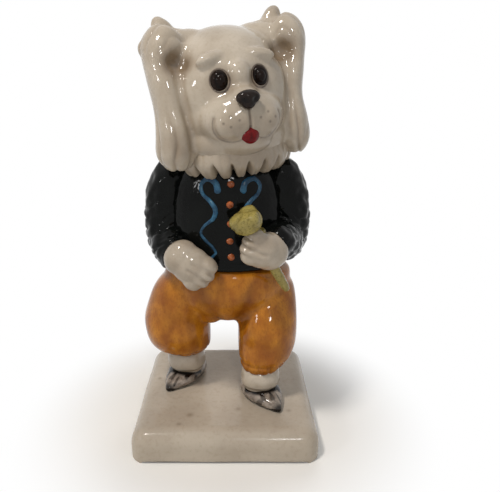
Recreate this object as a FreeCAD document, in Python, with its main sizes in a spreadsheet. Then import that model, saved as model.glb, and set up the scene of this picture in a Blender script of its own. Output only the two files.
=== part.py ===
import FreeCAD, Part
import math
import os
import re

import Sketcher

# Glazed earthenware figurine: a shaggy dog in jacket and breeches, standing on a square plinth.
# It is slip cast: thin hollow shells and small pressed pieces, stuck together with slip before firing.
# Millimetres. +Z is up, the dog looks towards -Y, and the origin is the middle of the plinth's foot.
# "right" and "left" are the dog's own, so its right side lies at -X.

Vector, Rotation = FreeCAD.Vector, FreeCAD.Rotation

DIMENSIONS = {
    # plinth
    "plinth_width": 49.0,
    "plinth_depth": 49.0,
    "plinth_height": 8.5,
    "plinth_corner": 3.4,
    "plinth_edge": 2.6,
    "plinth_wall": 3.2,
    # what the castings share
    "shell_wall": 2.6,
    "vent_radius": 1.5,
    "slip_gap": 0.15,
    # where the feet stand
    "right_ankle_x": -12.0,
    "right_ankle_y": 5.0,
    "left_ankle_x": 9.8,
    "left_ankle_y": -5.2,
    "toe_out": 27.0,
    # shoes and socks
    "shoe_back": 8.2,
    "shoe_front": 10.8,
    "shoe_width": 10.4,
    "shoe_height": 4.4,
    "shoe_rim": 3.4,
    "shoe_insole": 1.6,
    "sock_radius": 5.3,
    "sock_seat_radius": 3.8,
    "sock_band": 5.2,
    # breeches
    "cuff_radius": 5.3,
    "right_knee_radius": 9.5,
    "right_knee_x": -13.8,
    "right_knee_y": 2.6,
    "left_knee_radius": 8.2,
    "left_knee_x": 11.6,
    "left_knee_y": -3.2,
    "right_thigh_splay": 11.8,
    "left_thigh_splay": 10.7,
    "hip_splay": 8.4,
    "leg_rise": 30.0,
    "crotch_rise": 12.2,
    "seat_width": 35.0,
    "seat_depth": 25.0,
    "waist_width": 30.6,
    "waist_depth": 22.8,
    # jacket
    "jacket_x": 0.5,
    "jacket_y": 1.0,
    "hem_width": 31.8,
    "hem_depth": 24.2,
    "chest_width": 32.4,
    "chest_depth": 24.8,
    "shoulder_width": 25.0,
    "shoulder_depth": 20.0,
    "collar_width": 17.0,
    "collar_depth": 15.0,
    "collar_rise": 28.6,
    "neck_radius": 5.6,
    "neck_bore": 3.0,
    "neck_rise": 32.4,
    # sleeves and paws
    "arm_reach": 15.8,
    "arm_radius": 6.4,
    "forearm_length": 16.0,
    "forearm_radius": 5.0,
    "forearm_forward": 5.2,
    "forearm_inset": 2.0,
    "forearm_rise": 5.4,
    "forearm_swing": 22.0,
    "paw_width": 12.2,
    "paw_depth": 9.0,
    "paw_height": 10.8,
    "right_paw_x": -8.9,
    "right_paw_y": -12.0,
    "right_paw_rise": 3.0,
    "left_paw_x": 9.6,
    "left_paw_y": -15.8,
    "left_paw_rise": 7.9,
    # flower held in the left paw
    "stalk_radius": 1.4,
    "stalk_below": 14.0,
    "stalk_above": 4.8,
    "stalk_lean": 31.0,
    "bud_radius": 4.1,
    "bud_height": 8.8,
    # jacket front
    "button_radius": 1.15,
    "button_thickness": 0.9,
    "button_x": 1.5,
    "button_first_rise": 4.3,
    "button_spacing": 4.07,
    "button_spread": 0.133,
    "braid_width": 1.1,
    "braid_thickness": 0.45,
    "braid_spread": 5.2,
    "braid_loop": 4.3,
    "braid_first_rise": 8.4,
    # head
    "head_x": 0.5,
    "head_y": 0.5,
    "head_rise": 44.2,
    "head_turn": 15.0,
    "head_roll": -7.0,
    "skull_width": 33.0,
    "skull_depth": 31.0,
    "skull_height": 31.8,
    "muzzle_width": 18.0,
    "muzzle_depth": 19.0,
    "muzzle_height": 13.0,
    "muzzle_forward": 11.0,
    "muzzle_drop": 4.5,
    "pad_size": 8.2,
    "pad_splay": 3.7,
    "pad_forward": 16.6,
    "pad_drop": 6.2,
    "nose_width": 5.6,
    "nose_height": 3.8,
    "nose_forward": 19.6,
    "nose_drop": 1.0,
    "tongue_width": 4.6,
    "tongue_height": 4.6,
    "tongue_forward": 17.6,
    "tongue_drop": 9.0,
    "eye_width": 4.6,
    "eye_height": 5.2,
    "eye_splay": 4.7,
    "eye_rise": 3.1,
    "eye_forward": 13.8,
    # ears and ruff, in the head's own frame
    "ear_splay": 15.2,
    "ear_thickness": 9.6,
    "ear_depth": 13.0,
    "ear_length": 29.0,
    "ear_drop": 2.5,
    "ear_forward": 5.6,
    "ear_root_splay": 13.4,
    "ear_root_rise": 10.8,
    "ear_root_size": 13.0,
    "ear_tuft_rise": 15.2,
    "ear_tuft_height": 9.4,
    "ruff_width": 34.0,
    "ruff_depth": 31.0,
    "ruff_drop": 18.4,
    "ruff_notch": 2.0,
    # tail
    "tail_radius": 3.6,
    "tail_rise": 31.0,
}

RUFF_LOCKS = 18
BUTTONS = 5
BRAID_LOOPS = 4
PETALS = 5
SIDES = {"right": -1, "left": 1}

# Heights that follow from the stack: plinth, shoe, sock, breeches, jacket, head.
SHOE_RIM = "(plinth_height + shoe_rim)"
CUFF = "(plinth_height + shoe_rim + sock_band)"
WAIST = "(plinth_height + shoe_rim + sock_band + leg_rise)"

doc = FreeCAD.newDocument("dog_figurine")
sheet = doc.addObject("Spreadsheet::Sheet", "dims")
for row, (alias, amount) in enumerate(DIMENSIONS.items(), start=1):
    sheet.set(f"A{row}", alias)
    sheet.set(f"B{row}", str(amount))
    sheet.setAlias(f"B{row}", alias)
doc.recompute()

pieces = {}


# ---------------------------------------------------------------- helpers: binding and placing


def bound(text):
    """An expression in which every dimension's name points at its cell."""
    def to_cell(match):
        word = match.group(0)
        return f"dims.{word}" if word in DIMENSIONS else word
    return re.sub(r"[a-z_]+", to_cell, str(text))


def bind(item, **sizes):
    """Ties properties to the sheet. A double underscore in a property's name stands for a dot."""
    for name, text in sizes.items():
        item.setExpression(name.replace("__", "."), bound(text))
    return item


def place(item, x="0", y="0", z="0"):
    return bind(item, Placement__Base__x=x, Placement__Base__y=y, Placement__Base__z=z)


def turn(item, axis, angle):
    """Turns an object about one axis of its own by a bound angle."""
    item.Placement.Rotation = Rotation(Vector(*axis), 1.0)
    return bind(item, Placement__Rotation__Angle=angle)


def framed(name, item, placement):
    """The same object, carried into another frame by a bound placement."""
    group = doc.addObject("Part::Compound", name)
    group.Links = [item]
    return bind(group, Placement=placement)


def keep(label, item):
    """Names an object as a finished sub-part."""
    item.Label = label
    pieces[label] = item
    return item


# ---------------------------------------------------------------- helpers: solids


def ellipsoid(name, wide, deep, high, x="0", y="0", z="0"):
    """An ellipsoid of these full sizes along X, Y and Z."""
    item = doc.addObject("Part::Ellipsoid", name)
    bind(item, Radius1=f"({high}) / 2", Radius2=f"({wide}) / 2", Radius3=f"({deep}) / 2")
    return place(item, x, y, z)


def cylinder(name, radius, height, x="0", y="0", z="0"):
    item = doc.addObject("Part::Cylinder", name)
    bind(item, Radius=radius, Height=height)
    return place(item, x, y, z)


def box(name, wide, deep, high, x, y, z):
    """A box from its lower corner."""
    item = doc.addObject("Part::Box", name)
    bind(item, Length=wide, Width=deep, Height=high)
    return place(item, x, y, z)


def fuse(name, *items):
    joined = items[0]
    for count, item in enumerate(items[1:], start=1):
        both = doc.addObject("Part::Fuse", f"{name}_fuse{count}")
        both.Base, both.Tool = joined, item
        joined = both
    return joined


def cut(name, base, *tools):
    rest = base
    for count, tool in enumerate(tools, start=1):
        less = doc.addObject("Part::Cut", f"{name}_cut{count}")
        less.Base, less.Tool = rest, tool
        rest = less
    return rest


def common(name, base, tool):
    item = doc.addObject("Part::Common", name)
    item.Base, item.Tool = base, tool
    return item


def group(name, items):
    item = doc.addObject("Part::Compound", name)
    item.Links = items
    return item


def oval_loft(name, sections, inset="0"):
    """A solid through level ovals (height, x, y, full width, full depth). The inset thins every oval."""
    ovals = []
    for count, (height, x, y, wide, deep) in enumerate(sections):
        oval = doc.addObject("Part::Ellipse", f"{name}_oval{count}")
        bind(oval, MajorRadius=f"({wide}) / 2 - ({inset})", MinorRadius=f"({deep}) / 2 - ({inset})")
        ovals.append(place(oval, x, y, height))
    loft = doc.addObject("Part::Loft", name)
    loft.Sections, loft.Solid, loft.Ruled = ovals, True, False
    return loft


# ---------------------------------------------------------------- helpers: PartDesign


def new_sketch(body, name, height="0", x="0", y="0"):
    """A sketch on the body's level plane, moved to a bound place."""
    sketch = body.newObject("Sketcher::SketchObject", name)
    level = next(item for item in body.Origin.OriginFeatures if item.Role == "XY_Plane")
    sketch.AttachmentSupport = [(level, "")]
    sketch.MapMode = "FlatFace"
    return bind(sketch, AttachmentOffset__Base__x=x, AttachmentOffset__Base__y=y, AttachmentOffset__Base__z=height)


def drive(sketch, name, size, *constraint):
    """Adds a named size to a sketch and ties it to the sheet."""
    sketch.renameConstraint(sketch.addConstraint(Sketcher.Constraint(*constraint)), name)
    bind(sketch, **{f"Constraints__{name}": size})


def rectangle(sketch, wide, deep):
    """A rectangle about the sketch's origin."""
    corners = [Vector(-1, -1), Vector(1, -1), Vector(1, 1), Vector(-1, 1)]
    for count in range(4):
        sketch.addGeometry(Part.LineSegment(corners[count], corners[(count + 1) % 4]))
    for count in range(4):
        sketch.addConstraint(Sketcher.Constraint("Coincident", count, 2, (count + 1) % 4, 1))
        sketch.addConstraint(Sketcher.Constraint(("Horizontal", "Vertical")[count % 2], count))
    sketch.addConstraint(Sketcher.Constraint("Symmetric", 0, 1, 1, 2, -1, 1))
    drive(sketch, "wide", wide, "DistanceX", 0, 1, 0, 2, 2.0)
    drive(sketch, "deep", deep, "DistanceY", 1, 1, 1, 2, 2.0)
    return sketch


def circle(sketch, radius):
    """A circle about the sketch's origin."""
    sketch.addGeometry(Part.Circle(Vector(0, 0, 0), Vector(0, 0, 1), 1.0))
    sketch.addConstraint(Sketcher.Constraint("Coincident", 0, 3, -1, 1))
    drive(sketch, "radius", radius, "Radius", 0, 1.0)
    return sketch


def rounded(body, name, radius, wanted):
    """Fillets the edges of the body's last feature that pass a test."""
    doc.recompute()
    last = body.Tip
    edges = [f"Edge{count}" for count, edge in enumerate(last.Shape.Edges, start=1) if wanted(edge)]
    fillet = body.newObject("PartDesign::Fillet", name)
    fillet.Base = (last, edges)
    return bind(fillet, Radius=radius)


def pocket(body, name, sketch, depth):
    """Cuts a sketch upwards from its plane to a bound depth."""
    item = body.newObject("PartDesign::Pocket", name)
    item.Profile, item.Reversed = sketch, True
    return bind(item, Length=depth)


# ---------------------------------------------------------------- plinth


def is_upright(edge):
    return abs(edge.BoundBox.ZLength) > 1.0


def is_on_top(edge):
    return edge.BoundBox.ZMin > DIMENSIONS["plinth_height"] - 0.01


def make_plinth():
    """The square base, cast as an open tray: a flat foot rim, and a vent under each shoe."""
    body = doc.addObject("PartDesign::Body", "plinth_body")
    block = body.newObject("PartDesign::Pad", "plinth_block")
    block.Profile = rectangle(new_sketch(body, "plinth_plan"), "plinth_width", "plinth_depth")
    bind(block, Length="plinth_height")
    rounded(body, "plinth_corners", "plinth_corner", is_upright)
    rounded(body, "plinth_shoulder", "plinth_edge", is_on_top)
    plan = rectangle(new_sketch(body, "tray_plan"), "plinth_width - 2 * plinth_wall", "plinth_depth - 2 * plinth_wall")
    pocket(body, "tray", plan, "plinth_height - plinth_wall")
    for side in SIDES:
        vent = circle(new_sketch(body, f"{side}_vent_plan", "0", f"{side}_ankle_x", f"{side}_ankle_y"), "vent_radius")
        pocket(body, f"{side}_vent", vent, "plinth_height")
    return body


# ---------------------------------------------------------------- shoes, socks and breeches


def ankle(side):
    return f"{side}_ankle_x", f"{side}_ankle_y"


def make_shoe(side, sign):
    """A pointed slipper: lofted heel to toe, cut flat at the sole and at the rim where the sock sits."""
    length = [(0.0, 0.46, 0.45), (0.12, 0.74, 0.85), (0.36, 1.0, 1.0), (0.62, 0.86, 0.86), (0.84, 0.50, 0.55),
              (1.0, 0.20, 0.20)]
    sections = []
    for share, wide, high in length:
        along = f"{share} * (shoe_back + shoe_front) - shoe_back"
        sections.append((along, "0", "0", f"{wide} * shoe_width", f"{1.7 * high} * shoe_height"))
    lying = oval_loft(f"{side}_shoe_last", sections)
    lying.Placement.Rotation = Rotation(Vector(1, 0, 0), 90)
    raised = place(group(f"{side}_shoe_raised", [lying]), z="0.15 * shoe_height")
    x, y = ankle(side)
    pose = f"placement(vector({x}; {y}; plinth_height); rotationz({sign} * toe_out))"
    last = framed(f"{side}_shoe_solid", raised, pose)
    ground = box(f"{side}_shoe_ground", "plinth_width * 2", "plinth_depth * 2", "plinth_height",
                 "-plinth_width", "-plinth_depth", "0")
    seat = cylinder(f"{side}_shoe_seat", "sock_seat_radius + slip_gap", "plinth_height",
                    x, y, "plinth_height + shoe_insole")
    rim = cylinder(f"{side}_shoe_rim", "sock_radius", "plinth_height", x, y, SHOE_RIM)
    vent = cylinder(f"{side}_shoe_vent", "vent_radius", "plinth_height", x, y, "plinth_height - 1")
    return cut(f"{side}_shoe", last, ground, seat, rim, vent)


def make_sock(side):
    """The turned-over sock: a plump band on the shoe's rim, with a spigot down into the shoe."""
    x, y = ankle(side)
    band = oval_loft(f"{side}_sock_band", [
        (f"{SHOE_RIM} + {share} * sock_band", x, y, f"{wide} * sock_radius * 2", f"{wide} * sock_radius * 2")
        for share, wide in [(0.0, 0.93), (0.3, 1.0), (0.7, 1.0), (1.0, 0.94)]])
    spigot = cylinder(f"{side}_sock_spigot", "sock_seat_radius", "shoe_rim - shoe_insole + 1",
                      x, y, "plinth_height + shoe_insole")
    vent = cylinder(f"{side}_sock_vent", "vent_radius", "plinth_height", x, y, "plinth_height")
    return cut(f"{side}_sock", fuse(f"{side}_sock", band, spigot), vent)


def leg_loft(name, side, sign, inset="0"):
    """One baggy leg, from the cuff up into the hip. Between the cuff and the knee it leans by shares."""
    def between(share, axis):
        return f"(1 - {share}) * {side}_ankle_{axis} + {share} * {side}_knee_{axis}"
    knee = f"{side}_knee_radius"
    rows = [(0.0, 0.0, "cuff_radius"), (0.1, 0.35, f"0.85 * {knee}"), (0.26, 0.7, f"0.97 * {knee}"), (0.48, 1.0, knee)]
    sections = []
    for rise, share, radius in rows:
        size = f"2 * {radius}"
        sections.append((f"{CUFF} + {rise} * leg_rise", between(share, "x"), between(share, "y"), size, size))
    for rise, splay, y, radius in [(0.75, f"{side}_thigh_splay", f"0.4 * {side}_knee_y + 0.6 * jacket_y", f"0.98 * {knee}"),
                                   (0.92, "hip_splay", "jacket_y", f"0.84 * {knee}"),
                                   (0.99, "hip_splay", "jacket_y", f"0.6 * {knee}")]:
        size = f"2 * {radius}"
        sections.append((f"{CUFF} + {rise} * leg_rise", f"jacket_x + {sign} * {splay}", y, size, size))
    return oval_loft(name, sections, inset)


def seat_loft(name, inset="0"):
    """The seat of the breeches, from the crotch up to the waist under the jacket's hem."""
    rows = [("crotch_rise", "0.24 * seat_width", "0.30 * seat_depth"),
            ("crotch_rise + 0.16 * (leg_rise - crotch_rise)", "0.56 * seat_width", "0.70 * seat_depth"),
            ("crotch_rise + 0.5 * (leg_rise - crotch_rise)", "0.92 * seat_width", "0.97 * seat_depth"),
            ("crotch_rise + 0.84 * (leg_rise - crotch_rise)", "seat_width", "seat_depth"),
            ("leg_rise", "waist_width", "waist_depth")]
    return oval_loft(name, [(f"{CUFF} + {rise}", "jacket_x", "jacket_y", wide, deep) for rise, wide, deep in rows],
                     inset)


# ---------------------------------------------------------------- jacket, sleeves and paws

JACKET = [(0.0, "hem_width", "hem_depth"), (0.06, "hem_width", "hem_depth"), (0.2, "0.98 * chest_width", "0.97 * chest_depth"),
          (0.46, "chest_width", "chest_depth"), (0.72, "0.93 * chest_width", "0.93 * chest_depth"),
          (0.9, "shoulder_width", "shoulder_depth"), (1.0, "collar_width", "collar_depth")]


def jacket_loft(name, inset="0"):
    """The jacket's barrel, hem to collar. A negative inset swells it."""
    sections = []
    for share, wide, deep in JACKET:
        sections.append((f"{WAIST} + {share} * collar_rise", "jacket_x", "jacket_y", wide, deep))
    return oval_loft(name, sections, inset)


def sleeve_solid(side, sign):
    """The upper sleeve hangs from the shoulder, and the forearm swings in towards the front."""
    rows = [(0.95, 0.62, 0.72), (0.87, 0.76, 0.92), (0.66, 0.93, 1.0), (0.44, 1.0, 1.0), (0.24, 0.97, 0.9),
            (0.1, 0.9, 0.7), (0.05, 0.86, 0.42)]
    sections = []
    for share, reach, radius in rows:
        size = f"{radius} * arm_radius * 2"
        sections.append((f"{WAIST} + {share} * collar_rise", f"jacket_x + {sign * reach} * arm_reach",
                         "jacket_y - 1", size, size))
    upper = oval_loft(f"{side}_upper_sleeve", sections)
    forearm = ellipsoid(f"{side}_forearm", "2 * forearm_radius", "forearm_length", "2 * forearm_radius",
                        f"jacket_x + {sign} * (arm_reach - forearm_inset)", "jacket_y - 1 - forearm_forward",
                        f"{WAIST} + forearm_rise")
    turn(forearm, (0, 0, 1), f"{-sign} * forearm_swing")
    return fuse(f"{side}_sleeve_solid", upper, forearm)


def paw_solid(side):
    """The bare paw at the end of a sleeve: a palm, and four fingers side by side below it."""
    x, y, z = f"{side}_paw_x", f"{side}_paw_y", f"({WAIST} + {side}_paw_rise)"
    parts = [ellipsoid(f"{side}_palm", "paw_width", "paw_depth", "paw_height", x, y, z)]
    for count in range(4):
        across = f"{x} + {(count - 1.5) * 0.21:.3f} * paw_width"
        parts.append(ellipsoid(f"{side}_finger{count}", "0.27 * paw_width", "0.6 * paw_depth", "0.66 * paw_height",
                               across, f"{y} - 0.12 * paw_depth", f"{z} - 0.2 * paw_height"))
    return fuse(f"{side}_paw_solid", *parts)


# ---------------------------------------------------------------- flower

FLOWER_FRAME = ("placement(vector(left_paw_x; left_paw_y; " + WAIST + " + left_paw_rise); "
                "rotation(vector(0.447; -0.894; 0); stalk_lean))")


def stalk_solid():
    stalk = cylinder("stalk_rod", "stalk_radius", "stalk_below + stalk_above", z="-stalk_below")
    return framed("stalk_solid", stalk, FLOWER_FRAME)


def bud_solid():
    """A half-open bud: a small round calyx, the body above it, and the tips of its petals."""
    foot = "(stalk_above - 0.16 * bud_height)"
    parts = [ellipsoid("calyx", "1.4 * bud_radius", "1.4 * bud_radius", "0.46 * bud_height",
                       z=f"{foot} + 0.16 * bud_height"),
             ellipsoid("bud_body", "2 * bud_radius", "2 * bud_radius", "0.74 * bud_height",
                       z=f"{foot} + 0.56 * bud_height")]
    for count in range(PETALS):
        angle = 2 * math.pi * (count + 0.3) / PETALS
        parts.append(ellipsoid(f"petal{count}", "0.9 * bud_radius", "0.9 * bud_radius", "0.62 * bud_height",
                               f"{0.5 * math.cos(angle):.3f} * bud_radius", f"{0.5 * math.sin(angle):.3f} * bud_radius",
                               f"{foot} + 0.72 * bud_height"))
    return framed("bud_solid", fuse("bud_solid", *parts), FLOWER_FRAME)


# ---------------------------------------------------------------- jacket front


def onto_jacket(name, shapes, thickness, jacket):
    """What lies of some shapes within a thin skin over the jacket: pieces that hug its surface."""
    skin = jacket_loft(f"{name}_skin", f"-({thickness})")
    return cut(name, common(f"{name}_pressed", group(f"{name}_plan", shapes), skin), jacket)


def make_buttons(jacket):
    """Five pressed pellets down the front. Their spacing widens a little towards the collar."""
    rods = []
    for count in range(BUTTONS):
        rise = f"button_first_rise + {count} * button_spacing + {count ** 2} * button_spread"
        rod = cylinder(f"button_rod{count}", "button_radius", "chest_depth", "button_x", "jacket_y", f"{WAIST} + {rise}")
        rod.Placement.Rotation = Rotation(Vector(1, 0, 0), 90)
        rods.append(rod)
    return onto_jacket("buttons", rods, "button_thickness", jacket)


def half_disc(name, radius, x, z, outward):
    """A half disc that runs forwards from the jacket's middle, bulging to one side."""
    disc = cylinder(name, radius, "chest_depth", x, "jacket_y", z)
    disc.Angle = 180
    disc.Placement.Rotation = Rotation(Vector(0, 1, 0), 90 * outward) * Rotation(Vector(1, 0, 0), 90)
    return disc


def make_braid(side, sign, jacket):
    """A trailed line of slip that snakes up the front: half rings, turned out and in by turns."""
    x = f"button_x + {sign} * braid_spread"
    rings = []
    for count in range(BRAID_LOOPS):
        z = f"{WAIST} + braid_first_rise + {count} * braid_loop"
        outward = sign if count % 2 else -sign
        outer = half_disc(f"{side}_braid_outer{count}", "(braid_loop + braid_width) / 2", x, z, outward)
        inner = half_disc(f"{side}_braid_inner{count}", "(braid_loop - braid_width) / 2", x, z, outward)
        rings.append(cut(f"{side}_braid_ring{count}", outer, inner))
    line = fuse(f"{side}_braid_line", *rings)
    return onto_jacket(f"{side}_braid", [line], "braid_thickness", jacket)


# ---------------------------------------------------------------- head, in its own frame, then in place

HEAD_FRAME = ("placement(vector(head_x; head_y; " + WAIST + " + head_rise); "
              "rotationz(head_turn) * rotationy(head_roll))")


def on_head(name, item):
    return framed(name, item, HEAD_FRAME)


def head_solid():
    """Skull, muzzle, whisker pads and chin as one closed form."""
    skull = ellipsoid("skull", "skull_width", "skull_depth", "skull_height")
    muzzle = ellipsoid("muzzle", "muzzle_width", "muzzle_depth", "muzzle_height",
                       "0", "-muzzle_forward", "-muzzle_drop")
    chin = ellipsoid("chin", "0.7 * muzzle_width", "0.62 * muzzle_depth", "0.7 * muzzle_height",
                     "0", "-muzzle_forward", "-muzzle_drop - 0.5 * muzzle_height")
    pads = [ellipsoid(f"{side}_pad", "pad_size", "pad_size", "0.86 * pad_size",
                      f"{sign} * pad_splay", "-pad_forward", "-pad_drop") for side, sign in SIDES.items()]
    return fuse("head_solid", skull, muzzle, chin, *pads)


def ear_solid(side, sign):
    """A drop ear: a fold raised at the root, with a tuft, and a long flap down the cheek."""
    flap = ellipsoid(f"{side}_ear_flap", "ear_thickness", "ear_depth", "ear_length",
                     f"{sign} * ear_splay", "-ear_forward", "-ear_drop")
    lobe = ellipsoid(f"{side}_ear_lobe", "ear_thickness", "0.95 * ear_depth", "0.42 * ear_length",
                     f"{0.87 * sign} * ear_splay", "-ear_forward", "-ear_drop - 0.29 * ear_length")
    root = ellipsoid(f"{side}_ear_root", "ear_root_size", "0.95 * ear_root_size", "0.84 * ear_root_size",
                     f"{sign} * ear_root_splay", "-0.1 * ear_root_size", "ear_root_rise")
    tuft = ellipsoid(f"{side}_ear_tuft", "0.6 * ear_root_size", "0.5 * ear_root_size", "ear_tuft_height",
                     f"{sign} * ear_root_splay", "0", "ear_tuft_rise")
    return on_head(f"{side}_ear_solid", fuse(f"{side}_ear_solid", flap, lobe, root, tuft))


def ruff_solid():
    """The bell of long fur under the cheeks and chin."""
    rows = [(0.1, 0.9), (0.45, 0.98), (0.8, 1.0), (1.0, 0.97)]
    return oval_loft("ruff_bell", [(f"-{drop} * ruff_drop", "0", "0", f"{wide} * ruff_width", f"{wide} * ruff_depth")
                                   for drop, wide in rows])


def ruff_notches():
    """The gaps between the ruff's pointed locks: a ring of three-sided prisms, one edge up."""
    notches = []
    for count in range(RUFF_LOCKS):
        angle = 360.0 * (count + 0.5) / RUFF_LOCKS
        across, along = math.cos(math.radians(angle)), math.sin(math.radians(angle))
        notch = doc.addObject("Part::Prism", f"ruff_notch{count}")
        notch.Polygon = 3
        notch.Placement.Rotation = Rotation(Vector(0, 0, 1), angle) * Rotation(Vector(0, 1, 0), -90)
        bind(notch, Circumradius="ruff_notch", Height="0.4 * ruff_width")
        notches.append(place(notch, f"{across:.4f} * 0.6 * ruff_width", f"{along:.4f} * 0.6 * ruff_width",
                             "-ruff_drop + 0.2 * ruff_notch"))
    return group("ruff_notches", notches)


# ---------------------------------------------------------------- tail


def tail_solid():
    """A short upturned tail at the back of the breeches."""
    parts = []
    for count, (back, up, size) in enumerate([(0.46, 0.0, 0.95), (0.62, 0.9, 1.0), (0.72, 2.0, 0.88)]):
        parts.append(ellipsoid(f"tail{count}", f"{2 * size} * tail_radius", f"{2 * size} * tail_radius",
                               f"{2.5 * size} * tail_radius", "jacket_x", f"jacket_y + {back} * seat_depth",
                               f"plinth_height + tail_rise + {up} * tail_radius"))
    return fuse("tail_solid", *parts)


# ---------------------------------------------------------------- the assembly

keep("plinth", make_plinth())
for side, sign in SIDES.items():
    keep(f"{side}_shoe", make_shoe(side, sign))
    keep(f"{side}_sock", make_sock(side))

seat = seat_loft("seat_outer")
hollows = [leg_loft(f"{side}_leg_hollow", side, sign, "shell_wall") for side, sign in SIDES.items()]
legs = {}
for (side, sign), hollow in zip(SIDES.items(), hollows):
    legs[side] = leg_loft(f"{side}_leg_outer", side, sign)
    keep(f"{side}_breeches_leg", cut(f"{side}_leg", legs[side], hollow, seat))
keep("breeches_seat", cut("seat", seat, seat_loft("seat_hollow", "shell_wall"), *hollows))

jacket = jacket_loft("jacket_outer")
spigot = cylinder("neck_spigot", "neck_radius", "neck_rise - 0.8 * collar_rise", "jacket_x", "jacket_y",
                  f"{WAIST} + 0.8 * collar_rise")
jacket_hollow = oval_loft("jacket_hollow", [
    (f"{WAIST} + {share} * collar_rise", "jacket_x", "jacket_y", wide, deep) for share, wide, deep in JACKET[:-1]],
    "shell_wall")
neck_vent = cylinder("neck_vent", "neck_bore", "neck_rise", "jacket_x", "jacket_y", f"{WAIST} + 0.5 * collar_rise")
keep("jacket_body", cut("jacket", fuse("jacket", jacket, spigot), jacket_hollow, neck_vent))

stalk = stalk_solid()
bud = bud_solid()
paws = {side: paw_solid(side) for side in SIDES}
sleeves = {side: sleeve_solid(side, sign) for side, sign in SIDES.items()}
for side in SIDES:
    keep(f"{side}_sleeve", cut(f"{side}_sleeve", sleeves[side], jacket, paws[side], *([stalk] if side == "left" else [])))
keep("right_paw", cut("right_paw", paws["right"], jacket, seat, legs["right"]))
stalk_bore = framed("stalk_bore", cylinder("stalk_bore_rod", "stalk_radius + slip_gap", "stalk_below + stalk_above",
                                           z="-stalk_below"), FLOWER_FRAME)
keep("left_paw", cut("left_paw", paws["left"], jacket, stalk_bore, bud))
keep("flower_stalk", stalk)
keep("flower_bud", cut("bud", bud, stalk_bore))

keep("buttons", make_buttons(jacket))
for side, sign in SIDES.items():
    keep(f"{side}_braid", cut(f"{side}_braid_clear", make_braid(side, sign, jacket), paws[side], sleeves[side]))

head = on_head("head_envelope", head_solid())
skull_hollow = ellipsoid("skull_hollow", "skull_width - 2 * shell_wall", "skull_depth - 2 * shell_wall",
                         "skull_height - 2 * shell_wall")
neck_socket = cylinder("neck_socket", "neck_radius + slip_gap", "neck_rise - 0.5 * collar_rise", "jacket_x", "jacket_y",
                       f"{WAIST} + 0.5 * collar_rise")
keep("head", cut("head", head, on_head("head_hollow", skull_hollow), jacket, neck_socket))

bell = on_head("ruff_envelope", ruff_solid())
ears = {side: ear_solid(side, sign) for side, sign in SIDES.items()}
keep("ruff", cut("ruff", bell, head, on_head("ruff_gaps", ruff_notches()), jacket, neck_socket,
                 sleeves["right"], sleeves["left"]))
for side, sign in SIDES.items():
    keep(f"{side}_ear", cut(f"{side}_ear", ears[side], head, bell, sleeves[side], jacket))
    eye = ellipsoid(f"{side}_eyeball", "eye_width", "0.9 * eye_width", "eye_height",
                    f"{sign} * eye_splay", "-eye_forward", "eye_rise")
    keep(f"{side}_eye", cut(f"{side}_eye", on_head(f"{side}_eye_solid", eye), head))
nose = ellipsoid("nose_solid", "nose_width", "nose_height", "nose_height", "0", "-nose_forward", "-nose_drop")
keep("nose", cut("nose", on_head("nose_placed", nose), head))
tongue = ellipsoid("tongue_solid", "tongue_width", "tongue_height", "tongue_height",
                   "0", "-tongue_forward", "-tongue_drop")
keep("tongue", cut("tongue", on_head("tongue_placed", tongue), head))
keep("tail", cut("tail", tail_solid(), seat, jacket))

# ---------------------------------------------------------------- recompute, check and write

doc.recompute()
broken = [item.Name for item in doc.Objects if {"Invalid", "Error"} & set(item.State)]
if broken:
    raise RuntimeError(f"these did not build: {broken}")
os.makedirs("parts", exist_ok=True)
for label, item in pieces.items():
    shape = item.Shape
    if shape.isNull() or not shape.isValid() or not shape.Solids:
        raise RuntimeError(f"{label} is not a valid solid")
    print(f"{label}: {len(shape.Solids)} solids, {shape.Volume:.0f} mm3")
    shape.exportStep(f"parts/{label}.step")
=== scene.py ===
# %% [markdown]
# # A glazed pottery dog on a plinth
# The figurine is slip cast earthenware. Its hollow pieces are stuck together with liquid clay, so that the
# seams vanish, then it is fired, painted, glazed and fired again. This lesson models it the way a potter
# would: balls and rolls of clay are pressed together, kneaded into one skin, tooled with grooves, and
# glazed with node materials. The construction model is loaded first. It says where every piece goes, and
# nothing may grow out of its box.

# %% Load the construction model
import math
import bmesh
import bpy
import numpy as np
from mathutils import Euler, Matrix, Vector, noise
from mathutils.bvhtree import BVHTree


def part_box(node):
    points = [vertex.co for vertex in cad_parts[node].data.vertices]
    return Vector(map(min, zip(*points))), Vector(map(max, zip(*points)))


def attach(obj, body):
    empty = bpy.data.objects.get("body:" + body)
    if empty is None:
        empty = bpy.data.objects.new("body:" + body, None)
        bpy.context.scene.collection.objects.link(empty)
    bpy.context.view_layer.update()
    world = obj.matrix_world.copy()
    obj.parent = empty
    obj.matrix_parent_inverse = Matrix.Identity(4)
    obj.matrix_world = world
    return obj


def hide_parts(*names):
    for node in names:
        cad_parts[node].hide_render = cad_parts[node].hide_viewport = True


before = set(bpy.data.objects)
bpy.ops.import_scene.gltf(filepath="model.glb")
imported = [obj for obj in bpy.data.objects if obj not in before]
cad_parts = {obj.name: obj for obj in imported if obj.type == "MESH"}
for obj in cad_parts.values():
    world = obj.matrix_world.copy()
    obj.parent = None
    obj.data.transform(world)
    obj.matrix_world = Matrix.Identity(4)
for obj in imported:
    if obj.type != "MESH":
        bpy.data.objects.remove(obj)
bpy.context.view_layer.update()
MM = 0.001

# %% [markdown]
# The main places, such as the ankles, the waist and the middle of the head, are taken from the construction
# model. The figure is worked out in millimetres, because clay tools and brush lines are easier to think of
# that way, and each finished mesh is brought down to metres at the end.

# %% Places taken from the construction


def corners(node):
    """Lowest and highest corner of a construction node, in millimetres."""
    low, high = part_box(node)
    return low / MM, high / MM


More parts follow.
